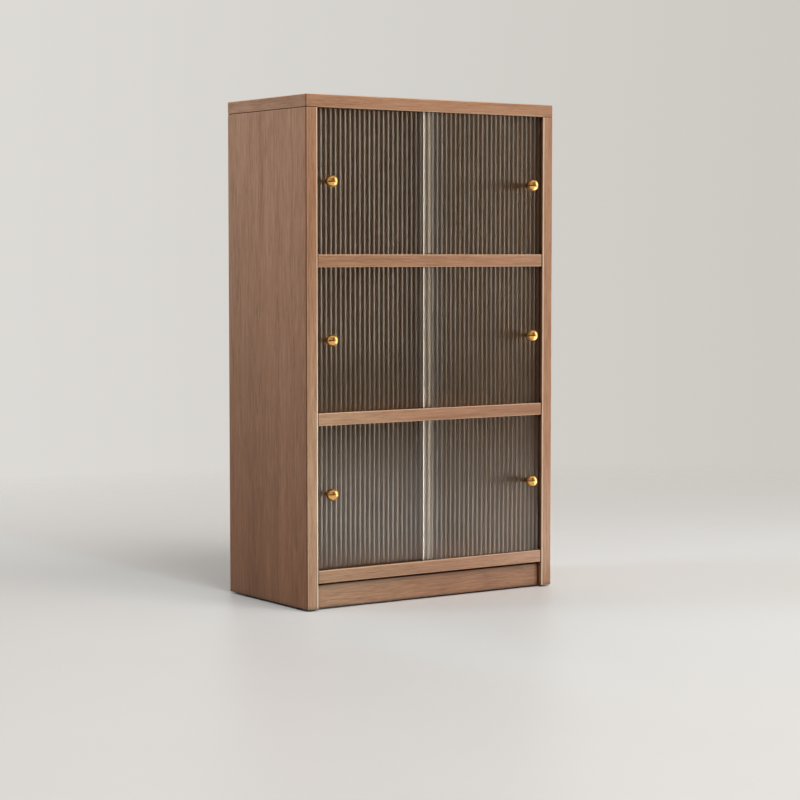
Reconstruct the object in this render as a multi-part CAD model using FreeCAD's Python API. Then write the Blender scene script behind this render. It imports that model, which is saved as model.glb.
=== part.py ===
import FreeCAD, Part
import math
import os
from collections import defaultdict

# Three-tier storage cabinet with sliding doors of reeded glass.
# Millimetres, +Z up, front towards -Y. The origin lies on the floor, in the middle of the width and of the
# depth over the knobs.

# Overall size of the carcass, without the knobs
WIDTH = 600.0
DEPTH = 300.0
HEIGHT = 1000.0
TIERS = ("bottom", "middle", "top")

# Boards of the carcass
BOARD = 25.0
EDGE_ROUND = 2.0
SHELF_SETBACK = 1.5
BASE_HEIGHT = 53.0

# Plinth boards below the bottom panel
PLINTH_BOARD = 18.0
PLINTH_RECESS = 11.0
PLINTH_SHADOW_GAP = 4.0
REAR_PLINTH_INSET = 25.0
PLINTH_DOWEL_SPACING = 24.0

# Back sheet in grooves of the sides and the top
BACK_SHEET = 5.0
BACK_INSET = 10.0
BACK_GROOVE = 8.0
BACK_SLACK = 0.5
BACK_SCREWS_PER_BOARD = 4
BACK_SCREW_EDGE = 40.0
BACK_SCREW_D = 3.0
BACK_SCREW_LENGTH = 22.0
BACK_SCREW_HEAD_D = 6.4
BACK_SCREW_HEAD_H = 2.0

# Reeded glass doors: the right one of each tier runs in front of the left one
GLASS = 6.0
GLASS_SETBACK = 7.0
GLASS_GAP = 5.0
DOOR_OVERLAP = 35.0
DOOR_END_GAP = 0.5
RIB_PITCH = 11.25
RIB_RISE = 3.0

# Double-channel tracks let into the boards above and below each pair of doors
TRACK_WALL = 1.5
TRACK_FLOOR = 1.5
TRACK_END_GAP = 0.4
GLASS_PLAY = 0.5
GLASS_SEAT = 0.2
LOWER_CHANNEL = 4.5
UPPER_CHANNEL = 9.5
LIFT_SPARE = 1.0

# Ball knobs: each sits on the crest of a rib, so many ribs in from the outer edge of its door
LEFT_KNOB_RIB = 3
RIGHT_KNOB_RIB = 4
BOTTOM_KNOB_RAISE = 7.0
KNOB_BALL_D = 24.0
KNOB_LENGTH = 34.0
KNOB_BASE_D = 8.8
KNOB_RIM = 1.0
KNOB_NECK_D = 13.7
KNOB_NECK_AT = 8.7
KNOB_NECK_ANGLE = 60.0

# Knob screws from behind the glass, with soft washers on both faces
SCREW_D = 4.0
SCREW_GRIP = 9.0
SCREW_BORE_SPARE = 1.5
SCREW_HEAD_D = 7.5
SCREW_HEAD_H = 2.4
SCREW_HEAD_ROUND = 0.8
SCREW_SLOT_W = 1.0
SCREW_SLOT_DEPTH = 1.2
GLASS_HOLE_D = 5.0
WASHER = 1.0
WASHER_D = 8.4
REAR_WASHER_D = 9.5

# Cam fittings and dowels between the boards
CAM_D = 15.0
CAM_CROWN = 5.5
CAM_INSET = 34.0
CAM_MOUTH = 8.2
CAM_SLOT_W = 1.6
CAM_SLOT_LENGTH = 9.0
CAM_SLOT_DEPTH = 2.5
CAM_ROW_INSET = 60.0
BOLT_D = 6.0
BOLT_EMBED = 12.0
BOLT_CHANNEL_D = 7.0
BOLT_NECK_D = 3.6
BOLT_HEAD_D = 6.6
BOLT_HEAD_LENGTH = 4.0
DOWEL_D = 8.0
DOWEL_IN_END = 20.0
DOWEL_IN_FACE = 13.0
DOWEL_CHAMFER = 1.0
DOWEL_END_SLACK = 0.8
DOWEL_ROW_OFFSET = 32.0

# Glides under the side panels
GLIDE_D = 20.0
GLIDE_HEIGHT = 3.0
GLIDE_CHAMFER = 0.6
GLIDE_PIN_D = 4.0
GLIDE_PIN_LENGTH = 14.0
GLIDE_FROM_PLINTH = 15.0

# Clearances for drilled holes and routed grooves, and how far a cutter runs past a face
FIT = 0.1
CUT_PAST = 1.0
ON_FACE = 1e-6

# Places worked out from the sizes above
inner_half = WIDTH / 2 - BOARD
side_mid = inner_half + BOARD / 2
side_top = HEIGHT - BOARD
tier_height = (side_top - BASE_HEIGHT) / len(TIERS) - BOARD
knob_reach = WASHER + KNOB_LENGTH - GLASS_SETBACK
front_y = (knob_reach - DEPTH) / 2
back_y = front_y + DEPTH
sheet_y = back_y - BACK_INSET - BACK_SHEET
shelf_front = front_y + SHELF_SETBACK
plinth_top = BASE_HEIGHT - PLINTH_SHADOW_GAP
plinth_y = front_y + PLINTH_RECESS
rear_plinth_y = back_y - REAR_PLINTH_INSET - PLINTH_BOARD
door_width = inner_half - DOOR_END_GAP + DOOR_OVERLAP / 2
glass_top_entry = UPPER_CHANNEL - LOWER_CHANNEL - LIFT_SPARE
glass_height = tier_height + LOWER_CHANNEL - GLASS_SEAT + glass_top_entry
cam_height = BOARD / 2 + CAM_CROWN

# Front face of the glass in each of the two lanes
lane_y = {"right": front_y + GLASS_SETBACK}
lane_y["left"] = lane_y["right"] + GLASS + GLASS_GAP
hand_sign = {"left": -1, "right": 1}
knob_rib = {"left": LEFT_KNOB_RIB, "right": RIGHT_KNOB_RIB}

# Rows of fittings across the depth of the boards
cam_rows = (shelf_front + CAM_ROW_INSET, sheet_y - CAM_ROW_INSET)
dowel_rows = (cam_rows[0] + DOWEL_ROW_OFFSET, cam_rows[1] - DOWEL_ROW_OFFSET)

nodes = {}
bores = defaultdict(list)
cams = []
bolts = []
dowels = []


def box(low, high):
    """A block between two corners."""
    size = high - low
    return Part.makeBox(size.x, size.y, size.z, low)


def rounded_board(low, high, faces):
    """A board whose edges are rounded around each of the named faces, such as "-y"."""
    board = box(low, high)
    planes = []
    for face in faces:
        axis = "xyz".index(face[1])
        planes.append((axis, low[axis] if face[0] == "-" else high[axis]))
    edges = []
    for edge in board.Edges:
        middle = edge.CenterOfMass
        if any(abs(middle[axis] - level) < ON_FACE for axis, level in planes):
            edges.append(edge)
    return board.makeFillet(EDGE_ROUND, edges)


def rod(diameter, start, end):
    """A round bar from one point to another."""
    return Part.makeCylinder(diameter / 2, (end - start).Length, start, end - start)


def place(shape, point, along, up):
    """A copy of a shape drawn along +X with its top towards +Z, turned and moved to its place."""
    placed = shape.copy()
    turn = FreeCAD.Rotation(along, up.cross(along), up, "XZY")
    placed.Placement = FreeCAD.Placement(point, turn)
    return placed


def along_x(diameter, start, end):
    return rod(diameter, FreeCAD.Vector(start, 0, 0), FreeCAD.Vector(end, 0, 0))


def along_y(diameter, x, z, start, end):
    return rod(diameter, FreeCAD.Vector(x, start, z), FreeCAD.Vector(x, end, z))


def cam_upright(diameter, low, high):
    return rod(diameter, FreeCAD.Vector(-CAM_INSET, 0, low), FreeCAD.Vector(-CAM_INSET, 0, high))


def make_cam():
    """Eccentric lock: the joint lies at x = 0, the cam is let in from the face at z = -BOARD / 2."""
    face = -BOARD / 2
    cam = cam_upright(CAM_D, face, face + cam_height)
    tools = [along_x(CAM_MOUTH, -CAM_INSET - CAM_MOUTH / 2, -CAM_INSET + CAM_D)]
    for length, width in ((CAM_SLOT_LENGTH, CAM_SLOT_W), (CAM_SLOT_W, CAM_SLOT_LENGTH)):
        low = FreeCAD.Vector(-CAM_INSET - length / 2, -width / 2, face - CUT_PAST)
        high = FreeCAD.Vector(-CAM_INSET + length / 2, width / 2, face + CAM_SLOT_DEPTH)
        tools.append(box(low, high))
    return cam.cut(tools)


def make_bolt():
    """Bolt screwed into the far board, with a neck and a head for the cam to pull on."""
    shoulder = -CAM_INSET + CAM_D / 2
    head_end = -CAM_INSET - BOLT_HEAD_LENGTH / 2
    shank = along_x(BOLT_D, shoulder, BOLT_EMBED)
    neck = along_x(BOLT_NECK_D, -CAM_INSET, shoulder)
    head = along_x(BOLT_HEAD_D, head_end, head_end + BOLT_HEAD_LENGTH)
    return shank.multiFuse([neck, head]).removeSplitter()


def make_dowel():
    """Chamfered dowel: DOWEL_IN_END in the end grain, DOWEL_IN_FACE in the far board."""
    dowel = along_x(DOWEL_D, -DOWEL_IN_END, DOWEL_IN_FACE)
    rims = [edge for edge in dowel.Edges if edge.isClosed() and len(edge.Vertexes) == 1]
    return dowel.makeChamfer(DOWEL_CHAMFER, rims)


cam = make_cam()
bolt = make_bolt()
dowel = make_dowel()
cam_bore = cam_upright(CAM_D + 2 * FIT, -BOARD / 2 - CUT_PAST, -BOARD / 2 + cam_height + FIT)
bolt_channel = along_x(BOLT_CHANNEL_D, -CAM_INSET, CUT_PAST)
bolt_hole = along_x(BOLT_D + 2 * FIT, -CUT_PAST, BOLT_EMBED + FIT)
dowel_end_hole = along_x(DOWEL_D + 2 * FIT, -DOWEL_IN_END - DOWEL_END_SLACK, CUT_PAST)
dowel_face_hole = along_x(DOWEL_D + 2 * FIT, -CUT_PAST, DOWEL_IN_FACE + DOWEL_END_SLACK)


def add_cam(end_board, face_board, point, along, up):
    """A cam in one board's end, pulling on a bolt in the other board's face, with the holes for both."""
    cams.append(place(cam, point, along, up))
    bolts.append(place(bolt, point, along, up))
    bores[end_board].append(place(cam_bore, point, along, up))
    bores[end_board].append(place(bolt_channel, point, along, up))
    bores[face_board].append(place(bolt_hole, point, along, up))


def add_dowel(end_board, face_board, point, along, up):
    dowels.append(place(dowel, point, along, up))
    bores[end_board].append(place(dowel_end_hole, point, along, up))
    bores[face_board].append(place(dowel_face_hole, point, along, up))


def join_boards(end_board, face_board, x, z, along, up):
    """Two cams and two dowels along the depth of a joint at x, z."""
    for y in cam_rows:
        add_cam(end_board, face_board, FreeCAD.Vector(x, y, z), along, up)
    for y in dowel_rows:
        add_dowel(end_board, face_board, FreeCAD.Vector(x, y, z), along, up)


def tier_floor(tier):
    """Height of the compartment floor of a tier, counted from the bottom."""
    return BASE_HEIGHT + BOARD + tier * (tier_height + BOARD)


# The boards below the tiers, from the bottom up; the top panel closes the last tier
level_boards = ("bottom_panel", "lower_shelf", "upper_shelf")
boards_above = ("lower_shelf", "upper_shelf", "top_panel")


def make_level_board(tier):
    top = tier_floor(tier)
    low = FreeCAD.Vector(-inner_half, shelf_front, top - BOARD)
    high = FreeCAD.Vector(inner_half, sheet_y, top)
    nodes[level_boards[tier]] = rounded_board(low, high, ("-y",))
    up = FreeCAD.Vector(0, 0, 1)
    for hand, sign in hand_sign.items():
        along = FreeCAD.Vector(sign, 0, 0)
        join_boards(level_boards[tier], f"{hand}_side_panel", sign * inner_half, top - BOARD / 2, along, up)


def make_side(hand):
    sign = hand_sign[hand]
    inner = sign * inner_half
    outer = sign * WIDTH / 2
    low = FreeCAD.Vector(min(inner, outer), front_y, GLIDE_HEIGHT)
    high = FreeCAD.Vector(max(inner, outer), back_y, side_top)
    outer_face = "+x" if sign > 0 else "-x"
    name = f"{hand}_side_panel"
    nodes[name] = rounded_board(low, high, (outer_face, "-y", "+y"))
    up = FreeCAD.Vector(sign, 0, 0)
    join_boards(name, "top_panel", sign * side_mid, side_top, FreeCAD.Vector(0, 0, 1), up)


def make_top():
    low = FreeCAD.Vector(-WIDTH / 2, front_y, side_top)
    high = FreeCAD.Vector(WIDTH / 2, back_y, HEIGHT)
    nodes["top_panel"] = rounded_board(low, high, ("-x", "+x", "-y", "+y", "-z", "+z"))


def make_plinth(name, start_y, rounded_face):
    low = FreeCAD.Vector(-inner_half, start_y, GLIDE_HEIGHT)
    high = FreeCAD.Vector(inner_half, start_y + PLINTH_BOARD, plinth_top)
    nodes[name] = rounded_board(low, high, (rounded_face,))
    middle_z = (GLIDE_HEIGHT + plinth_top) / 2
    up = FreeCAD.Vector(0, 0, 1)
    for hand, sign in hand_sign.items():
        for step in (-1, 1):
            z = middle_z + step * PLINTH_DOWEL_SPACING / 2
            point = FreeCAD.Vector(sign * inner_half, start_y + PLINTH_BOARD / 2, z)
            add_dowel(name, f"{hand}_side_panel", point, FreeCAD.Vector(sign, 0, 0), up)


def make_back():
    """Back sheet in the grooves of the sides and the top, screwed to the edges of the level boards."""
    reach = inner_half + BACK_GROOVE
    low = FreeCAD.Vector(-reach + BACK_SLACK, sheet_y, BASE_HEIGHT)
    high = FreeCAD.Vector(reach - BACK_SLACK, sheet_y + BACK_SHEET, side_top + BACK_GROOVE - BACK_SLACK)
    nodes["back_panel"] = box(low, high)
    groove_low = FreeCAD.Vector(-reach, sheet_y - FIT, BASE_HEIGHT)
    groove_high = FreeCAD.Vector(reach, sheet_y + BACK_SHEET + FIT, side_top + BACK_GROOVE)
    groove = box(groove_low, groove_high)
    for board in ("left_side_panel", "right_side_panel", "top_panel"):
        bores[board].append(groove)
    screws = []
    span = 2 * (inner_half - BACK_SCREW_EDGE)
    face = sheet_y + BACK_SHEET
    for tier, board in enumerate(level_boards):
        z = tier_floor(tier) - BOARD / 2
        for index in range(BACK_SCREWS_PER_BOARD):
            x = span * (index / (BACK_SCREWS_PER_BOARD - 1) - 0.5)
            screws.append(back_screw(x, z, face, 0))
            hole = back_screw(x, z, face, FIT)
            bores["back_panel"].append(hole)
            bores[board].append(hole)
    nodes["back_panel_screws"] = Part.makeCompound(screws)


def back_screw(x, z, face, extra):
    """Countersunk screw into the back sheet, or with extra radius and length the hole for it."""
    tip = face - BACK_SCREW_LENGTH - extra
    shank = along_y(BACK_SCREW_D + 2 * extra, x, z, face, tip)
    top = FreeCAD.Vector(x, face, z)
    down = FreeCAD.Vector(0, -1, 0)
    wide = BACK_SCREW_HEAD_D / 2 + extra
    head = Part.makeCone(wide, BACK_SCREW_D / 2 + extra, BACK_SCREW_HEAD_H, top, down)
    return shank.fuse(head).removeSplitter()


def make_track(board, name, face_z, channel, opens):
    """Track flush with a board's face, open upwards (opens = 1) or downwards (-1), and its groove."""
    front = lane_y["right"] - GLASS_PLAY - TRACK_WALL
    back = lane_y["left"] + GLASS + GLASS_PLAY + TRACK_WALL
    seat = face_z - opens * (channel + TRACK_FLOOR)
    floor = face_z - opens * channel
    past = face_z + opens * CUT_PAST
    reach = inner_half - TRACK_END_GAP
    body = box(*corners(-reach, reach, front, back, seat, face_z))
    channels = []
    for start in lane_y.values():
        end = start + GLASS + GLASS_PLAY
        channels.append(box(*corners(-WIDTH, WIDTH, start - GLASS_PLAY, end, floor, past)))
    nodes[name] = body.cut(channels)
    bores[board].append(box(*corners(-inner_half, inner_half, front - FIT, back + FIT, seat, past)))


def corners(x0, x1, y0, y1, z0, z1):
    """Low and high corner of a block, with its two heights given in either order."""
    return FreeCAD.Vector(x0, y0, min(z0, z1)), FreeCAD.Vector(x1, y1, max(z0, z1))


def make_tracks(tier):
    floor = tier_floor(tier)
    make_track(level_boards[tier], f"{TIERS[tier]}_lower_track", floor, LOWER_CHANNEL, 1)
    make_track(boards_above[tier], f"{TIERS[tier]}_upper_track", floor + tier_height, UPPER_CHANNEL, -1)


def make_glass(start_x, crest_y, low_z):
    """Reeded panel: a flat back and a row of round ribs in front."""
    ribs = round(door_width / RIB_PITCH)
    pitch = door_width / ribs
    valley = crest_y + RIB_RISE
    back = crest_y + GLASS
    end_x = start_x + door_width
    edges = []
    for rib in range(ribs):
        left = FreeCAD.Vector(start_x + rib * pitch, valley, low_z)
        crest = FreeCAD.Vector(start_x + (rib + 0.5) * pitch, crest_y, low_z)
        right = FreeCAD.Vector(start_x + (rib + 1) * pitch, valley, low_z)
        edges.append(Part.Arc(left, crest, right).toShape())
    outline = ((end_x, valley), (end_x, back), (start_x, back), (start_x, valley))
    points = [FreeCAD.Vector(x, y, low_z) for x, y in outline]
    for start, end in zip(points, points[1:]):
        edges.append(Part.LineSegment(start, end).toShape())
    return Part.Face(Part.Wire(edges)).extrude(FreeCAD.Vector(0, 0, glass_height))


def make_knob():
    """Turned ball knob on a tapered neck, base at the origin and tip towards -Y, with a screw bore."""
    ball = KNOB_BALL_D / 2
    centre = KNOB_LENGTH - ball
    neck = math.radians(KNOB_NECK_ANGLE)
    bore = SCREW_D / 2 + FIT / 2
    bore_end = SCREW_GRIP + SCREW_BORE_SPARE

    def at(radius, out):
        return FreeCAD.Vector(radius, -out, 0)

    rim = at(KNOB_BASE_D / 2, KNOB_RIM)
    join = at(ball * math.sin(neck), centre - ball * math.cos(neck))
    tip = at(0, KNOB_LENGTH)
    edges = [
        Part.LineSegment(at(bore, 0), at(KNOB_BASE_D / 2, 0)).toShape(),
        Part.LineSegment(at(KNOB_BASE_D / 2, 0), rim).toShape(),
        Part.Arc(rim, at(KNOB_NECK_D / 2, KNOB_NECK_AT), join).toShape(),
        Part.Arc(join, at(ball, centre), tip).toShape(),
        Part.LineSegment(tip, at(0, bore_end)).toShape(),
        Part.LineSegment(at(0, bore_end), at(bore, bore_end)).toShape(),
        Part.LineSegment(at(bore, bore_end), at(bore, 0)).toShape(),
    ]
    return Part.Face(Part.Wire(edges)).revolve(FreeCAD.Vector(), FreeCAD.Vector(0, 1, 0), 360)


def make_knob_screw():
    """Pan-head screw through washers and glass into the knob, whose base is at the origin."""
    seat = 2 * WASHER + GLASS
    shank = along_y(SCREW_D, 0, 0, -SCREW_GRIP, seat)
    head = along_y(SCREW_HEAD_D, 0, 0, seat, seat + SCREW_HEAD_H)
    top = seat + SCREW_HEAD_H
    rim = [edge for edge in head.Edges if abs(edge.CenterOfMass.y - top) < ON_FACE]
    head = head.makeFillet(SCREW_HEAD_ROUND, rim)
    slots = []
    for wide, tall in ((SCREW_D, SCREW_SLOT_W), (SCREW_SLOT_W, SCREW_D)):
        low = FreeCAD.Vector(-wide / 2, top - SCREW_SLOT_DEPTH, -tall / 2)
        high = FreeCAD.Vector(wide / 2, top + CUT_PAST, tall / 2)
        slots.append(box(low, high))
    return shank.fuse(head).removeSplitter().cut(slots)


knob = make_knob()
knob_screw = make_knob_screw()


def make_door(tier, hand):
    """Glass panel with its knob, screw and washers; the knob sits on a rib near the outer edge."""
    sign = hand_sign[hand]
    outer_edge = sign * (inner_half - DOOR_END_GAP)
    start_x = min(outer_edge, outer_edge - sign * door_width)
    crest_y = lane_y[hand]
    low_z = tier_floor(tier) - LOWER_CHANNEL + GLASS_SEAT
    pitch = door_width / round(door_width / RIB_PITCH)
    x = outer_edge - sign * (knob_rib[hand] - 0.5) * pitch
    z = tier_floor(tier) + tier_height / 2
    if tier == 0:
        z += BOTTOM_KNOB_RAISE
    base = crest_y - WASHER
    back = crest_y + GLASS
    panel = make_glass(start_x, crest_y, low_z)
    panel = panel.cut(along_y(GLASS_HOLE_D, x, z, base, back + CUT_PAST))
    screw_hole = along_y(SCREW_D + 2 * FIT, x, z, base - CUT_PAST, back + WASHER + CUT_PAST)
    front_washer = along_y(WASHER_D, x, z, base, crest_y + RIB_RISE).cut([panel, screw_hole])
    rear_washer = along_y(REAR_WASHER_D, x, z, back, back + WASHER).cut(screw_hole)
    move = FreeCAD.Placement(FreeCAD.Vector(x, base, z), FreeCAD.Rotation())
    name = f"{TIERS[tier]}_{hand}"
    nodes[f"{name}_glass"] = panel
    nodes[f"{name}_knob_washers"] = Part.makeCompound([front_washer, rear_washer])
    for piece, shape in (("knob", knob), ("knob_screw", knob_screw)):
        placed = shape.copy()
        placed.Placement = move
        nodes[f"{name}_{piece}"] = placed


def make_glides():
    """Plastic glides nailed into the lower ends of the side panels."""
    glides = []
    front_row = plinth_y + PLINTH_BOARD + GLIDE_FROM_PLINTH
    rear_row = rear_plinth_y - GLIDE_FROM_PLINTH
    for side, sign in hand_sign.items():
        for y in (front_row, rear_row):
            x = sign * side_mid
            sole = FreeCAD.Vector(x, y, 0)
            seat = FreeCAD.Vector(x, y, GLIDE_HEIGHT)
            tip = seat + FreeCAD.Vector(0, 0, GLIDE_PIN_LENGTH)
            disc = rod(GLIDE_D, sole, seat)
            rim = [edge for edge in disc.Edges if abs(edge.CenterOfMass.z) < ON_FACE]
            disc = disc.makeChamfer(GLIDE_CHAMFER, rim)
            glides.append(disc.fuse(rod(GLIDE_PIN_D, seat, tip)).removeSplitter())
            hole_end = tip + FreeCAD.Vector(0, 0, FIT)
            hole_start = seat - FreeCAD.Vector(0, 0, CUT_PAST)
            bores[f"{side}_side_panel"].append(rod(GLIDE_PIN_D + 2 * FIT, hole_start, hole_end))
    nodes["foot_glides"] = Part.makeCompound(glides)


make_top()
make_side("left")
make_side("right")
make_plinth("front_plinth", plinth_y, "-y")
make_plinth("rear_plinth", rear_plinth_y, "+y")
for tier in range(len(TIERS)):
    make_level_board(tier)
    make_tracks(tier)
    for hand in hand_sign:
        make_door(tier, hand)
make_back()
make_glides()
nodes["cam_locks"] = Part.makeCompound(cams)
nodes["cam_bolts"] = Part.makeCompound(bolts)
nodes["wood_dowels"] = Part.makeCompound(dowels)
for board, tools in bores.items():
    nodes[board] = nodes[board].cut(tools)

os.makedirs("parts", exist_ok=True)
for name, shape in nodes.items():
    if not shape.isValid():
        raise ValueError(f"{name} isn't a valid shape")
    shape.exportStep(f"parts/{name}.step")
    print(f"{name}: {len(shape.Solids)} solids, {shape.Volume / 1000:.1f} cm3")
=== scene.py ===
import math

import bpy
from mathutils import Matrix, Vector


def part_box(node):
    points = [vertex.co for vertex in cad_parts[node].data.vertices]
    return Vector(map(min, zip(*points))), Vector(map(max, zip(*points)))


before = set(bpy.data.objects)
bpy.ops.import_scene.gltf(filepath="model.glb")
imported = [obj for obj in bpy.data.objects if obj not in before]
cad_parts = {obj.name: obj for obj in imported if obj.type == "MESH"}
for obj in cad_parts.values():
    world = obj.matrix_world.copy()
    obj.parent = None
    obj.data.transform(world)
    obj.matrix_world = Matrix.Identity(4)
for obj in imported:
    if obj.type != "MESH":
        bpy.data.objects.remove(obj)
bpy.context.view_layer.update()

TIERS = ("bottom", "middle", "top")
HANDS = ("left", "right")

# Camera, at the photo's angle.
CAMERA_AT = (-2.546, -3.717, 0.694)
CAMERA_YAW_DEG = 34.52
CAMERA_PITCH_DEG = 3.81
LENS_MM = 98.82
SENSOR_MM = 36.0

# Floor, which fades out into the background.
FLOOR_RADIUS = 6.0
FLOOR_SEGMENTS = 96
FLOOR_FADE_AT = (0.0, -1.0)
FLOOR_FADE = (1.8, 3.6)
FLOOR_COLOR = (0.865, 0.873, 0.877)
FLOOR_MOTTLE = 0.985
FLOOR_NOISE = {"scale": 3.0, "detail": 3.0}
FLOOR_ROUGHNESS = 0.42
FLOOR_GLOSS = 0.5
# On the left the floor gives back little light, so that the left side darkens downwards.
BOUNCE_LEFT = (0.30, 0.135, 0.035)
BOUNCE_CLEAR = (0.85, 0.82, 0.78)
BOUNCE_SPAN_X = (-0.33, -0.10)
BOUNCE_SPAN_Y = (-0.2, -0.8)

# Background, seen from left to right, and the light that it gives.
BACKDROP_LEFT = (0.72, 0.70, 0.67)
BACKDROP_RIGHT = (0.61, 0.59, 0.55)
BACKDROP_SPAN_X = (0.42, 0.70)
AMBIENT_COLOR = (0.38, 0.355, 0.33)

# Lamps, in watts. The sheen and the low panel show only in reflections, and the others never do.
KEY_SIZE = (7.4, 7.2)
KEY_AIM = (0.0, 0.0, 1.6)
OPEN_SPREAD_DEG = 180.0
LAMPS = (
    {
        "name": "key_light",
        "at": (7.90, -3.35, 3.60),
        "aim": KEY_AIM,
        "size": KEY_SIZE,
        "power": 85.0,
        "color": (1.0, 0.97, 0.93),
        "gloss": False,
    },
    {
        "name": "key_sheen",
        "at": (7.70, -3.27, 3.56),
        "aim": KEY_AIM,
        "size": KEY_SIZE,
        "power": 300.0,
        "color": (1.0, 0.92, 0.80),
        "diffuse": False,
    },
    {
        "name": "top_light",
        "at": (0.2, -3.0, 4.6),
        "aim": (0.0, 0.0, 0.3),
        "size": (3.5, 3.0),
        "power": 178.0,
        "color": (1.0, 0.98, 0.95),
        "gloss": False,
    },
    {
        "name": "low_panel",
        "at": (2.40, -0.45, 0.004),
        "aim": (2.40, -0.45, 1.0),
        "size": (3.9, 1.8),
        "power": 42.0,
        "color": (1.0, 0.93, 0.82),
        "diffuse": False,
    },
    {
        "name": "side_fill",
        "at": (-2.3, 1.1, 1.9),
        "aim": (-0.3, 0.1, 1.12),
        "size": (1.0, 1.0),
        "power": 3.3,
        "color": (0.65, 0.83, 1.0),
        "gloss": False,
        "spread_deg": 45.0,
    },
    {
        "name": "front_fill",
        "at": (-0.31, -2.0, 0.50),
        "aim": (-0.29, 0.0, 0.20),
        "size": (0.12, 0.5),
        "power": 0.30,
        "color": (0.50, 0.90, 1.0),
        "gloss": False,
        "spread_deg": 18.0,
    },
)

# Curved screens beyond the camera, for the glass and the knobs to reflect: a name, the first and last
# direction in degrees, and the lower and upper colour. The glass shows the lower parts, and the knobs the
# upper ones too.
SCREEN_RADIUS = 6.5
SCREEN_FOOT = -1.5
SCREEN_HEIGHT = 4.6
SCREEN_RAISED = 12.0
SCREEN_STEPS = 16
SCREEN_NOISE = {"scale": 40.0, "detail": 2.0}
SCREEN_WEAVE = 0.9
SCREEN_SHADE = (0.54, 0.50, 0.45)
SCREEN_SHADE_Z = (1.3, -0.1)
SCREEN_UPPER_Z = (1.45, 1.6)
SCREEN_DARK = (0.02, 0.018, 0.016)
SCREEN_GREY = (1.0, 0.95, 0.90)
SCREEN_WARM = (1.0, 0.80, 0.54)
SCREENS = (
    ("dark_screen", -95.0, -12.0, SCREEN_DARK, SCREEN_GREY),
    ("dark_post", -12.0, 2.0, SCREEN_DARK, SCREEN_DARK),
    ("warm_screen", 2.0, 44.0, SCREEN_WARM, SCREEN_WARM),
)

# Sockets of the Mix node for colours.
MIX_FACTOR = 0
MIX_FIRST = 6
MIX_SECOND = 7
MIX_RESULT = 2
# Most noise values lie in this range.
NOISE_RANGE = (0.3, 0.7)
# Faces that look along an axis, and the roundings between them, by the largest part of the normal.
ROUNDING_SPAN = (0.995, 0.93)
WORN_SAMPLES = 4
WORN_SPAN = (0.985, 0.80)


def opaque(color):
    return (*color, 1.0)


def scaled(color, factor):
    return tuple(min(1.0, part * factor) for part in color)


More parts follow.
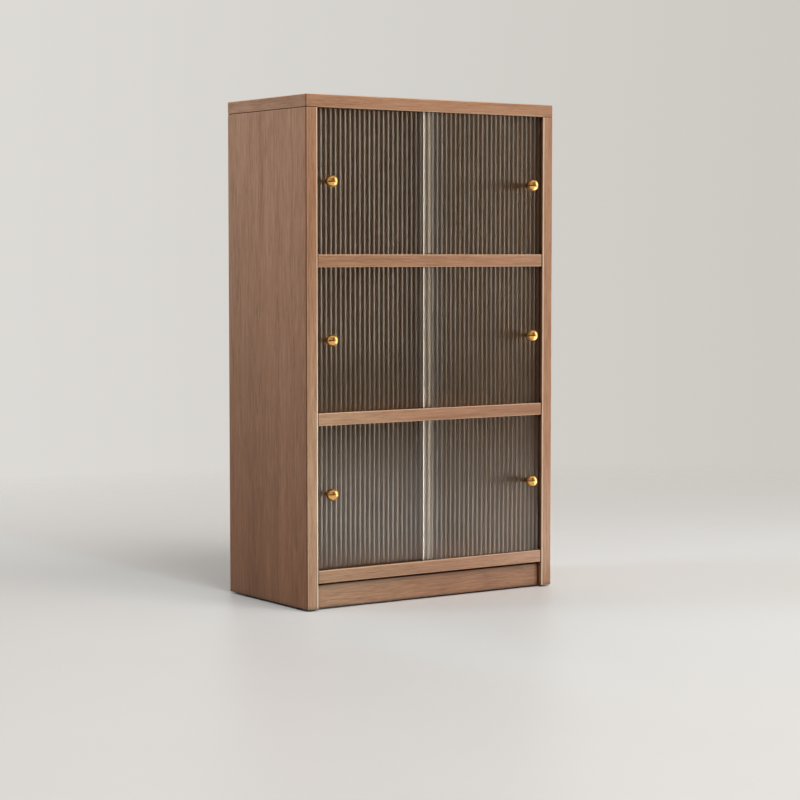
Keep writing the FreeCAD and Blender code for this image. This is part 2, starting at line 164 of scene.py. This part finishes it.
class Graph:
    """One material whose nodes are added and linked by name."""

    def __init__(self, name):
        self.material = bpy.data.materials.new(name)
        self.material.use_nodes = True
        self.tree = self.material.node_tree
        self.shader = self.tree.nodes["Principled BSDF"]
        self.output = self.tree.nodes["Material Output"]

    def add(self, kind, settings=None, **values):
        made = self.tree.nodes.new("ShaderNode" + kind)
        for key, value in (settings or {}).items():
            setattr(made, key, value)
        for key, value in values.items():
            self.put(made.inputs[key.replace("_", " ")], value)
        return made

    def put(self, socket, value):
        if isinstance(value, bpy.types.NodeSocket):
            self.tree.links.new(value, socket)
        else:
            socket.default_value = value

    def set(self, **values):
        for key, value in values.items():
            self.put(self.shader.inputs[key.replace("_", " ")], value)

    def math(self, operation, first, second=0.0, clamp=False):
        made = self.add("Math", {"operation": operation, "use_clamp": clamp})
        self.put(made.inputs[0], first)
        self.put(made.inputs[1], second)
        return made.outputs[0]

    def ramp(self, fac, stops):
        made = self.add("ValToRGB", Fac=fac)
        elements = made.color_ramp.elements
        while len(elements) < len(stops):
            elements.new(1.0)
        for element, (place, color) in zip(elements, stops):
            element.position = place
            element.color = opaque(color)
        return made.outputs["Color"]

    def span(self, value, low, high, to_low=0.0, to_high=1.0):
        made = self.add("MapRange", {"clamp": True}, Value=value)
        limits = {"From Min": low, "From Max": high, "To Min": to_low, "To Max": to_high}
        for key, number in limits.items():
            self.put(made.inputs[key], number)
        return made.outputs["Result"]

    def mix_color(self, blend, fac, first, second):
        made = self.add("Mix", {"data_type": "RGBA", "blend_type": blend})
        self.put(made.inputs[MIX_FACTOR], fac)
        self.put(made.inputs[MIX_FIRST], first)
        self.put(made.inputs[MIX_SECOND], second)
        return made.outputs[MIX_RESULT]

    def mix_surface(self, fac, first, second):
        made = self.add("MixShader")
        self.put(made.inputs[0], fac)
        self.put(made.inputs[1], first.outputs["BSDF"])
        self.put(made.inputs[2], second.outputs["BSDF"])
        self.put(self.output.inputs["Surface"], made.outputs["Shader"])

    def place(self, stretch=(1.0, 1.0, 1.0), shift=(0.0, 0.0, 0.0)):
        coords = self.add("TexCoord").outputs["Object"]
        mapping = self.add("Mapping", Vector=coords, Location=shift, Scale=stretch)
        return mapping.outputs["Vector"]

    def axes(self, kind):
        """X, Y and Z of the place on the object, or of its normal."""
        return self.add("SeparateXYZ", Vector=self.add("TexCoord").outputs[kind]).outputs

    def noise(self, vector, scale, detail=2.0, roughness=0.5, distortion=0.0):
        made = self.add("TexNoise", Vector=vector, Scale=scale, Detail=detail)
        self.put(made.inputs["Roughness"], roughness)
        self.put(made.inputs["Distortion"], distortion)
        return made.outputs["Fac"]

    def bump(self, height, strength, distance):
        made = self.add("Bump", Height=height, Strength=strength, Distance=distance)
        return made.outputs["Normal"]

    def within(self, limits):
        """1 between the limits for the distance from the middle plane, for y and for z."""
        spot = self.axes("Object")
        places = (self.math("ABSOLUTE", spot["X"]), spot["Y"], spot["Z"])
        mask = 1.0
        for place, (low, high) in zip(places, limits):
            mask = self.math("MULTIPLY", self.math("GREATER_THAN", place, low), mask)
            mask = self.math("MULTIPLY", self.math("LESS_THAN", place, high), mask)
        return mask

    def rounding(self):
        """1 on the roundings between faces that look along an axis, 0 on those faces."""
        facing = self.axes("Normal")
        most = 0.0
        for axis in ("X", "Y", "Z"):
            most = self.math("MAXIMUM", self.math("ABSOLUTE", facing[axis]), most)
        return self.span(most, *ROUNDING_SPAN)

    def worn_edge(self, radius):
        """1 on rounded and sharp edges, 0 on flats."""
        bevel = self.add("Bevel", {"samples": WORN_SAMPLES}, Radius=radius)
        face = self.add("NewGeometry")
        dot = self.add("VectorMath", {"operation": "DOT_PRODUCT"})
        self.put(dot.inputs[0], bevel.outputs["Normal"])
        self.put(dot.inputs[1], face.outputs["Normal"])
        return self.span(dot.outputs["Value"], *WORN_SPAN)


# Wood: its tones from dark to light, the noise along the grain, a painted highlight on the rounded edges,
# painted shade in creases and seams, and the finish.
WALNUT = ((0.285, 0.135, 0.072), (0.430, 0.224, 0.129), (0.55, 0.306, 0.190))
# The back sheet is darker than the boards, and its dark tone is also painted shade for the dim inside of the
# closed cabinet.
BACK_SHADED_TONES = ((0.17, 0.072, 0.030), (0.24, 0.105, 0.045), (0.29, 0.135, 0.062))
BEECH_TONES = ((0.42, 0.26, 0.13), (0.55, 0.36, 0.19), (0.64, 0.44, 0.25))
ALONG = 0.055
GRAIN_STRETCH = {"X": (ALONG, 1.0, 1.0), "Y": (1.0, ALONG, 1.0), "Z": (1.0, 1.0, ALONG)}
GRAIN_SHIFT = (1.37, 0.71, 2.13)
END_FACING = 0.7
BAND_NOISE = {"scale": 18.0, "detail": 3.0, "roughness": 0.55, "distortion": 0.6}
BAND_SHARE = 0.35
STREAK_NOISE = {"scale": 290.0, "detail": 5.0, "roughness": 0.64, "distortion": 0.30}
STREAK_SHARE = 0.65
TONE_STOPS = (0.33, 0.50, 0.67)
PORE_NOISE = {"scale": 640.0}
PORE_SPAN = (0.42, 0.28)
PORE_STRENGTH = 0.40
PORE_SHADE = 0.9
ROUNDING_HIGHLIGHT = 0.75
CREASE_SHADE_SAMPLES = 6
CREASE_SHADE_REACH = 0.014
CREASE_SHADE_SPAN = (0.88, 0.50, 0.0, 0.92)
CREASE_SHADE_TINT = (0.20, 0.14, 0.10)
VENEER_ROUGHNESS = (0.40, 0.56)
VENEER_BUMP = (0.16, 0.0006)
VENEER_GLOSS = 0.22
FRONT_FACING = (0.5, 0.8)
SIDE_COAT = 0.05
FRONT_COAT = 1.0
VENEER_COAT_ROUGHNESS = 0.22
BACK_GLOSS = 0.08

# Fine lines on the boards: painted shade along the front corners and in the joints, and a painted highlight
# along the inner front edges. Each has limits for the distance from the middle plane, for y and for z.
HALF_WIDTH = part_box("top_panel")[1][0]
INNER_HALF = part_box("upper_shelf")[1][0]
FRONT_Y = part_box("left_side_panel")[0][1]
TOP_JOINT_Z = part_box("top_panel")[0][2]
CORNER_SHADE_X = 0.0007
CORNER_SHADE_Y = 0.0042
TOP_JOINT_INSET = 0.0005
TOP_JOINT_HALF = 0.0012
BUTT_JOINT_X = 0.0024
HIGHLIGHT_X = 0.0031
HIGHLIGHT_Y = 0.0008
SHADE_LINE_TINT = (0.46, 0.29, 0.20)
HIGHLIGHT_TINT = (0.60, 0.46, 0.36)
FAR_LOW = -1.0
FAR_HIGH = 2.0
ANY = (FAR_LOW, FAR_HIGH)
TOP_JOINT_SPAN = (TOP_JOINT_Z - TOP_JOINT_HALF, TOP_JOINT_Z + TOP_JOINT_HALF)
# Painted shade: a dark line on the rounded front corners of the top and the sides.
CORNER_SHADE = (
    "MULTIPLY",
    SHADE_LINE_TINT,
    ((HALF_WIDTH - CORNER_SHADE_X, FAR_HIGH), (FAR_LOW, FRONT_Y + CORNER_SHADE_Y), ANY),
)
# Painted shade: dark lines in the grooves where the top meets the sides, and at the ends of the shelves,
# bottom panel and plinths.
TOP_JOINT_SHADE = ("MULTIPLY", SHADE_LINE_TINT, ((INNER_HALF + TOP_JOINT_INSET, FAR_HIGH), ANY, TOP_JOINT_SPAN))
BUTT_JOINT_SHADE = ("MULTIPLY", SHADE_LINE_TINT, ((INNER_HALF - BUTT_JOINT_X, FAR_HIGH), ANY, ANY))
# Painted highlight: a pale line on the rounded inner front edges of the sides.
INNER_HIGHLIGHT = ("SCREEN", HIGHLIGHT_TINT, ((FAR_LOW, INNER_HALF + HIGHLIGHT_X), (FAR_LOW, FRONT_Y + HIGHLIGHT_Y), ANY))
# Each board's grain direction, its place in the noise and its painted shade and highlight lines.
BOARDS = (
    ("top_panel", "X", 1.0, (CORNER_SHADE, TOP_JOINT_SHADE)),
    ("left_side_panel", "Z", 2.0, (CORNER_SHADE, TOP_JOINT_SHADE, INNER_HIGHLIGHT)),
    ("right_side_panel", "Z", 3.0, (CORNER_SHADE, TOP_JOINT_SHADE, INNER_HIGHLIGHT)),
    ("upper_shelf", "X", 4.0, (BUTT_JOINT_SHADE,)),
    ("lower_shelf", "X", 5.0, (BUTT_JOINT_SHADE,)),
    ("bottom_panel", "X", 6.0, (BUTT_JOINT_SHADE,)),
    ("front_plinth", "X", 7.0, (BUTT_JOINT_SHADE,)),
    ("rear_plinth", "X", 8.0, (BUTT_JOINT_SHADE,)),
)
BACK_SEED = 9.0
BEECH_SEED = 10.0


def veneer(name, along, seed, tones, gloss=VENEER_GLOSS, coat=FRONT_COAT, lines=()):
    """Satin wood veneer: broad tone bands, fine streaks and pores along one axis, a painted highlight on the
    rounded edges, painted shade in creases, and the board's painted shade and highlight lines.
    """
    g = Graph(name)
    dark, _, light = tones
    shift = tuple(seed * part for part in GRAIN_SHIFT)
    at = g.place(GRAIN_STRETCH[along], shift)
    if along == "X":
        banded = g.math("GREATER_THAN", g.math("ABSOLUTE", g.axes("Normal")["X"]), END_FACING)
        at = g.mix_color("MIX", banded, at, g.place(GRAIN_STRETCH["Y"], shift))
    bands = g.noise(at, **BAND_NOISE)
    streaks = g.noise(at, **STREAK_NOISE)
    banding = g.math("MULTIPLY", bands, BAND_SHARE)
    tone = g.math("ADD", banding, g.math("MULTIPLY", streaks, STREAK_SHARE))
    color = g.ramp(tone, tuple(zip(TONE_STOPS, tones)))
    pores = g.span(g.noise(at, **PORE_NOISE), *PORE_SPAN)
    pore_fac = g.math("MULTIPLY", pores, PORE_STRENGTH)
    color = g.mix_color("MULTIPLY", pore_fac, color, opaque(scaled(dark, PORE_SHADE)))
    # Painted highlight: the light tone is screened over the rounded edges.
    rounding_highlight = g.math("MULTIPLY", g.rounding(), ROUNDING_HIGHLIGHT)
    color = g.mix_color("SCREEN", rounding_highlight, color, opaque(light))
    # Painted shade: the tone is darkened where ambient occlusion finds creases and seams between parts.
    crease_shade = g.add("AmbientOcclusion", {"samples": CREASE_SHADE_SAMPLES}, Distance=CREASE_SHADE_REACH).outputs["AO"]
    color = g.mix_color("MULTIPLY", g.span(crease_shade, *CREASE_SHADE_SPAN), color, opaque(CREASE_SHADE_TINT))
    for blend, tint, limits in lines:
        color = g.mix_color(blend, g.within(limits), color, opaque(tint))
    g.set(Base_Color=color)
    g.set(Roughness=g.span(streaks, *NOISE_RANGE, *VENEER_ROUGHNESS))
    g.set(Normal=g.bump(g.math("SUBTRACT", streaks, pores), *VENEER_BUMP))
    front = g.math("ABSOLUTE", g.axes("Normal")["Y"])
    g.set(Specular_IOR_Level=gloss)
    g.set(Coat_Weight=g.span(front, *FRONT_FACING, SIDE_COAT, coat), Coat_Roughness=VENEER_COAT_ROUGHNESS)
    return g.material


# Smoky glass, paler near the inner ends of the doors, within 3 cm of the middle: painted highlight for the
# bright overlap strip and its lit edge. The left panels shine more than the right ones.
# The right glass has less coat only so that the right panels come out darker: a shaded copy of the same
# glass.
GLASS_SHINE = {"left": 1.0, "right": 0.68}
GLASS_TRANSMISSION = 0.98
GLASS_IOR = 1.3
GLASS_REFLECTION = (0.25, 0.15, 0.10)
GLASS_CLOUD = {"scale": 14.0}
GLASS_TONES = ((0.35, (0.86, 0.74, 0.58)), (0.65, (0.92, 0.81, 0.65)))
PALE_HIGHLIGHT_REACH = 0.030
PALE_HIGHLIGHT_TONE = (0.99, 0.975, 0.95)
GLASS_GRAIN = {"scale": 60.0, "detail": 3.0}
GLASS_ROUGHNESS = (0.28, 0.31)
GLASS_COAT_ROUGHNESS = 0.08
GLASS_COAT_IOR = 1.8
GLASS_SHADOW = (0.47, 0.37, 0.22)


def smoky_glass(hand):
    """Bronze-tinted reeded glass; the ribs themselves are in the mesh."""
    g = Graph("smoky_reeded_glass_" + hand)
    at = g.place()
    g.set(Transmission_Weight=GLASS_TRANSMISSION, IOR=GLASS_IOR, Specular_Tint=opaque(GLASS_REFLECTION))
    body = g.ramp(g.noise(at, **GLASS_CLOUD), GLASS_TONES)
    # Painted highlight: the glass is paler near the inner ends of the doors.
    highlight_strip = g.math("LESS_THAN", g.math("ABSOLUTE", g.axes("Object")["X"]), PALE_HIGHLIGHT_REACH)
    g.set(Base_Color=g.mix_color("MIX", highlight_strip, body, opaque(PALE_HIGHLIGHT_TONE)))
    g.set(Roughness=g.span(g.noise(at, **GLASS_GRAIN), *NOISE_RANGE, *GLASS_ROUGHNESS))
    inside = g.add("NewGeometry").outputs["Backfacing"]
    g.set(Coat_Weight=g.math("SUBTRACT", GLASS_SHINE[hand], inside, clamp=True))
    g.set(Coat_Roughness=GLASS_COAT_ROUGHNESS, Coat_IOR=GLASS_COAT_IOR)
    through = g.add("BsdfTransparent", Color=opaque(GLASS_SHADOW))
    path = g.add("LightPath").outputs
    lighting = g.math("MAXIMUM", path["Is Shadow Ray"], path["Is Diffuse Ray"])
    g.mix_surface(lighting, g.shader, through)
    return g.material


# Polished gold-tone brass.
GOLD_MARKS = {"scale": 420.0, "detail": 3.0, "roughness": 0.6}
GOLD_TONES = ((0.3, (0.84, 0.45, 0.13)), (0.7, (0.93, 0.565, 0.205)))
GOLD_ROUGHNESS = (0.35, 0.7, 0.06, 0.14)
TURNING_STRETCH = (0.05, 1.0, 0.05)
TURNING_NOISE = {"scale": 2400.0}
TURNING_BUMP = (0.05, 0.0002)


def polished_gold():
    """Polished gold-tone brass with faint turning marks and handling marks."""
    g = Graph("polished_gold")
    marks = g.noise(g.place(), **GOLD_MARKS)
    turning = g.noise(g.place(TURNING_STRETCH), **TURNING_NOISE)
    g.set(Metallic=1.0)
    g.set(Base_Color=g.ramp(marks, GOLD_TONES))
    g.set(Roughness=g.span(marks, *GOLD_ROUGHNESS))
    g.set(Normal=g.bump(turning, *TURNING_BUMP))
    return g.material


# Metal and plastic fittings.
WORN_RADIUS = 0.0006
STEEL_COLOR = (0.62, 0.62, 0.63)
STEEL_ROUGHNESS = 0.22
ZINC_COLOR = (0.52, 0.52, 0.53)
ZINC_ROUGHNESS = 0.34
METAL_STRETCH = (1.0, 1.0, 0.1)
METAL_NOISE = {"scale": 1500.0, "detail": 3.0, "roughness": 0.6}
METAL_SHADE = 0.82
METAL_WEAR = 0.25
METAL_ROUGHNESS_RISE = 0.15
METAL_BUMP = (0.08, 0.0002)
TRACK_COLOR = (0.075, 0.035, 0.018)
TRACK_ROUGHNESS = 0.5
GLIDE_COLOR = (0.012, 0.008, 0.006)
GLIDE_ROUGHNESS = 0.55
PLASTIC_GRAIN = {"scale": 1800.0}
PLASTIC_CLOUD = {"scale": 35.0, "detail": 3.0}
PLASTIC_SHADE = 0.85
PLASTIC_LIFT = 1.12
PLASTIC_WEAR = 0.15
PLASTIC_ROUGHNESS_FALL = 0.06
PLASTIC_ROUGHNESS_RISE = 0.08
PLASTIC_BUMP = (0.10, 0.0003)


def bright_metal(name, color, rough):
    """Plated or die-cast metal with a fine brushed variation."""
    g = Graph(name)
    brushed = g.noise(g.place(METAL_STRETCH), **METAL_NOISE)
    tint = g.ramp(brushed, tuple(zip(NOISE_RANGE, (scaled(color, METAL_SHADE), color))))
    worn = g.math("MULTIPLY", g.worn_edge(WORN_RADIUS), METAL_WEAR)
    g.set(Metallic=1.0)
    g.set(Base_Color=g.mix_color("SCREEN", worn, tint, opaque(color)))
    g.set(Roughness=g.span(brushed, *NOISE_RANGE, rough, rough + METAL_ROUGHNESS_RISE))
    g.set(Normal=g.bump(brushed, *METAL_BUMP))
    return g.material


def matte_plastic(name, color, rough):
    """Moulded plastic with a fine matte texture and slightly paler edges."""
    g = Graph(name)
    at = g.place()
    grain = g.noise(at, **PLASTIC_GRAIN)
    cloud = g.noise(at, **PLASTIC_CLOUD)
    high = scaled(color, PLASTIC_LIFT)
    tint = g.ramp(cloud, tuple(zip(NOISE_RANGE, (scaled(color, PLASTIC_SHADE), high))))
    worn = g.math("MULTIPLY", g.worn_edge(WORN_RADIUS), PLASTIC_WEAR)
    g.set(Base_Color=g.mix_color("SCREEN", worn, tint, opaque(high)))
    low_rough = rough - PLASTIC_ROUGHNESS_FALL
    g.set(Roughness=g.span(grain, *NOISE_RANGE, low_rough, rough + PLASTIC_ROUGHNESS_RISE))
    g.set(Normal=g.bump(grain, *PLASTIC_BUMP))
    return g.material


# Clear silicone washers.
SILICONE_TRANSMISSION = 0.75
SILICONE_IOR = 1.41
SILICONE_NOISE = {"scale": 900.0}
SILICONE_TONES = ((0.3, (0.74, 0.73, 0.71)), (0.7, (0.86, 0.86, 0.84)))
SILICONE_ROUGHNESS = (0.28, 0.42)
SILICONE_BUMP = (0.06, 0.0002)


def clear_silicone():
    """Clear soft silicone with a slightly clouded, matte skin."""
    g = Graph("clear_silicone")
    cloud = g.noise(g.place(), **SILICONE_NOISE)
    g.set(Transmission_Weight=SILICONE_TRANSMISSION, IOR=SILICONE_IOR)
    g.set(Base_Color=g.ramp(cloud, SILICONE_TONES))
    g.set(Roughness=g.span(cloud, *NOISE_RANGE, *SILICONE_ROUGHNESS))
    g.set(Normal=g.bump(cloud, *SILICONE_BUMP))
    return g.material


def dress(node, material):
    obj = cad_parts[node]
    obj.data.materials.clear()
    obj.data.materials.append(material)


def mesh_object(name, points, faces, material):
    mesh = bpy.data.meshes.new(name)
    mesh.from_pydata(points, [], faces)
    mesh.materials.append(material)
    obj = bpy.data.objects.new(name, mesh)
    bpy.context.scene.collection.objects.link(obj)
    return obj


def studio_floor():
    """A pale floor that fades out into the pale background."""
    g = Graph("studio_floor")
    length = g.add("VectorMath", {"operation": "LENGTH"})
    g.put(length.inputs[0], g.place(shift=(-FLOOR_FADE_AT[0], -FLOOR_FADE_AT[1], 0.0)))
    fade = g.span(length.outputs["Value"], *FLOOR_FADE)
    tones = (scaled(FLOOR_COLOR, FLOOR_MOTTLE), FLOOR_COLOR)
    pale = g.ramp(g.noise(g.place(), **FLOOR_NOISE), tuple(zip(NOISE_RANGE, tones)))
    spot = g.axes("Object")
    clear_of = g.math("MAXIMUM", g.span(spot["X"], *BOUNCE_SPAN_X), g.span(spot["Y"], *BOUNCE_SPAN_Y))
    bounce = g.ramp(clear_of, ((0.0, BOUNCE_LEFT), (1.0, BOUNCE_CLEAR)))
    path = g.add("LightPath").outputs
    seen = g.math("MAXIMUM", path["Is Camera Ray"], path["Is Glossy Ray"])
    seen = g.math("MAXIMUM", seen, path["Is Transmission Ray"])
    g.set(Base_Color=g.mix_color("MIX", seen, bounce, pale))
    g.set(Roughness=FLOOR_ROUGHNESS, Specular_IOR_Level=FLOOR_GLOSS)
    g.mix_surface(fade, g.shader, g.add("BsdfTransparent"))
    points = []
    for k in range(FLOOR_SEGMENTS):
        turn = 2.0 * math.pi * k / FLOOR_SEGMENTS
        points.append((FLOOR_RADIUS * math.cos(turn), FLOOR_RADIUS * math.sin(turn), 0.0))
    return mesh_object("studio_floor", points, [tuple(range(FLOOR_SEGMENTS))], g.material)


def area_light(name, at, aim, size, power, color, diffuse=True, gloss=True, spread_deg=OPEN_SPREAD_DEG):
    data = bpy.data.lights.new(name, "AREA")
    data.shape = "RECTANGLE"
    data.size = size[0]
    data.size_y = size[1]
    data.energy = power
    data.color = color
    data.spread = math.radians(spread_deg)
    obj = bpy.data.objects.new(name, data)
    obj.location = at
    away = [a - b for a, b in zip(at, aim)]
    flat = math.hypot(away[0], away[1])
    obj.rotation_euler = (math.atan2(flat, away[2]), 0.0, math.atan2(away[0], -away[1]))
    obj.visible_camera = False
    obj.visible_diffuse = diffuse
    obj.visible_glossy = gloss
    obj.visible_transmission = gloss
    bpy.context.scene.collection.objects.link(obj)
    return obj


def screen_cloth(name, color, upper):
    g = Graph(name)
    weave = g.noise(g.place(), **SCREEN_NOISE)
    cloth = g.ramp(weave, tuple(zip(NOISE_RANGE, (scaled(color, SCREEN_WEAVE), color))))
    height = g.axes("Object")["Z"]
    cloth = g.mix_color("MULTIPLY", g.span(height, *SCREEN_SHADE_Z), cloth, opaque(SCREEN_SHADE))
    glossy = g.add("LightPath").outputs["Is Glossy Ray"]
    mirrored = g.math("MULTIPLY", g.span(height, *SCREEN_UPPER_Z), glossy)
    g.set(Base_Color=g.mix_color("MIX", mirrored, cloth, opaque(upper)))
    g.set(Roughness=1.0, Specular_IOR_Level=0.0)
    return g.material


def curved_wall(name, from_deg, to_deg, foot, head, material):
    """A curved wall round the object that the camera never sees."""
    points = []
    faces = []
    for k in range(SCREEN_STEPS + 1):
        turn = math.radians(from_deg + (to_deg - from_deg) * k / SCREEN_STEPS)
        x = SCREEN_RADIUS * math.sin(turn)
        y = -SCREEN_RADIUS * math.cos(turn)
        points += [(x, y, foot), (x, y, head)]
    for k in range(SCREEN_STEPS):
        faces.append((2 * k, 2 * k + 2, 2 * k + 3, 2 * k + 1))
    obj = mesh_object(name, points, faces, material)
    obj.visible_camera = False
    return obj


def studio_screen(name, from_deg, to_deg, color, upper):
    """A screen, and a raised one above it that takes no light away and shows only in reflections."""
    cloth = screen_cloth(name, color, upper)
    low = curved_wall(name, from_deg, to_deg, SCREEN_FOOT, SCREEN_HEIGHT, cloth)
    high = curved_wall(name + "_raised", from_deg, to_deg, SCREEN_HEIGHT, SCREEN_RAISED, cloth)
    high.visible_diffuse = False
    high.visible_shadow = False
    high.visible_transmission = False
    return low, high


def studio_world():
    """A pale surround for the background and the reflections, and a dimmer one for the light."""
    world = bpy.data.worlds.new("studio")
    world.use_nodes = True
    bpy.context.scene.world = world
    tree = world.node_tree
    path = tree.nodes.new("ShaderNodeLightPath")
    seen = path.outputs["Is Camera Ray"]
    for ray in ("Is Glossy Ray", "Is Transmission Ray"):
        either = tree.nodes.new("ShaderNodeMath")
        either.operation = "MAXIMUM"
        tree.links.new(seen, either.inputs[0])
        tree.links.new(path.outputs[ray], either.inputs[1])
        seen = either.outputs[0]
    coords = tree.nodes.new("ShaderNodeTexCoord")
    axes = tree.nodes.new("ShaderNodeSeparateXYZ")
    tree.links.new(coords.outputs["Generated"], axes.inputs[0])
    across = tree.nodes.new("ShaderNodeMapRange")
    across.inputs["From Min"].default_value = BACKDROP_SPAN_X[0]
    across.inputs["From Max"].default_value = BACKDROP_SPAN_X[1]
    tree.links.new(axes.outputs["X"], across.inputs["Value"])
    backdrop = tree.nodes.new("ShaderNodeMix")
    backdrop.data_type = "RGBA"
    backdrop.inputs[MIX_FIRST].default_value = opaque(BACKDROP_LEFT)
    backdrop.inputs[MIX_SECOND].default_value = opaque(BACKDROP_RIGHT)
    tree.links.new(across.outputs["Result"], backdrop.inputs[MIX_FACTOR])
    tone = tree.nodes.new("ShaderNodeMix")
    tone.data_type = "RGBA"
    tone.inputs[MIX_FIRST].default_value = opaque(AMBIENT_COLOR)
    tree.links.new(backdrop.outputs[MIX_RESULT], tone.inputs[MIX_SECOND])
    tree.links.new(seen, tone.inputs[MIX_FACTOR])
    tree.links.new(tone.outputs[MIX_RESULT], tree.nodes["Background"].inputs["Color"])


def studio_camera():
    data = bpy.data.cameras.new("camera")
    data.lens = LENS_MM
    data.sensor_width = SENSOR_MM
    obj = bpy.data.objects.new("camera", data)
    obj.location = CAMERA_AT
    obj.rotation_euler = (math.radians(90.0 - CAMERA_PITCH_DEG), 0.0, -math.radians(CAMERA_YAW_DEG))
    bpy.context.scene.collection.objects.link(obj)
    bpy.context.scene.camera = obj


# Boards.
for board, along, seed, lines in BOARDS:
    dress(board, veneer("walnut_" + board, along, seed, WALNUT, lines=lines))
back_sheet = veneer("walnut_back_sheet", "Z", BACK_SEED, BACK_SHADED_TONES, gloss=BACK_GLOSS, coat=BACK_GLOSS)
dress("back_panel", back_sheet)

# Fittings of the carcass.
steel = bright_metal("plated_steel", STEEL_COLOR, STEEL_ROUGHNESS)
track = matte_plastic("track_plastic", TRACK_COLOR, TRACK_ROUGHNESS)
dress("wood_dowels", veneer("beech", "X", BEECH_SEED, BEECH_TONES))
dress("cam_locks", bright_metal("die_cast_zinc", ZINC_COLOR, ZINC_ROUGHNESS))
dress("cam_bolts", steel)
dress("back_panel_screws", steel)
dress("foot_glides", matte_plastic("glide_plastic", GLIDE_COLOR, GLIDE_ROUGHNESS))
for tier in TIERS:
    dress(tier + "_upper_track", track)
    dress(tier + "_lower_track", track)

# Doors.
gold = polished_gold()
silicone = clear_silicone()
for hand in HANDS:
    glass = smoky_glass(hand)
    for tier in TIERS:
        door = tier + "_" + hand
        dress(door + "_glass", glass)
        dress(door + "_knob", gold)
        dress(door + "_knob_screw", steel)
        dress(door + "_knob_washers", silicone)

# Studio.
studio_floor()
for screen in SCREENS:
    studio_screen(*screen)
for lamp in LAMPS:
    area_light(**lamp)
studio_world()
studio_camera()
bpy.context.scene.view_settings.view_transform = "Standard"
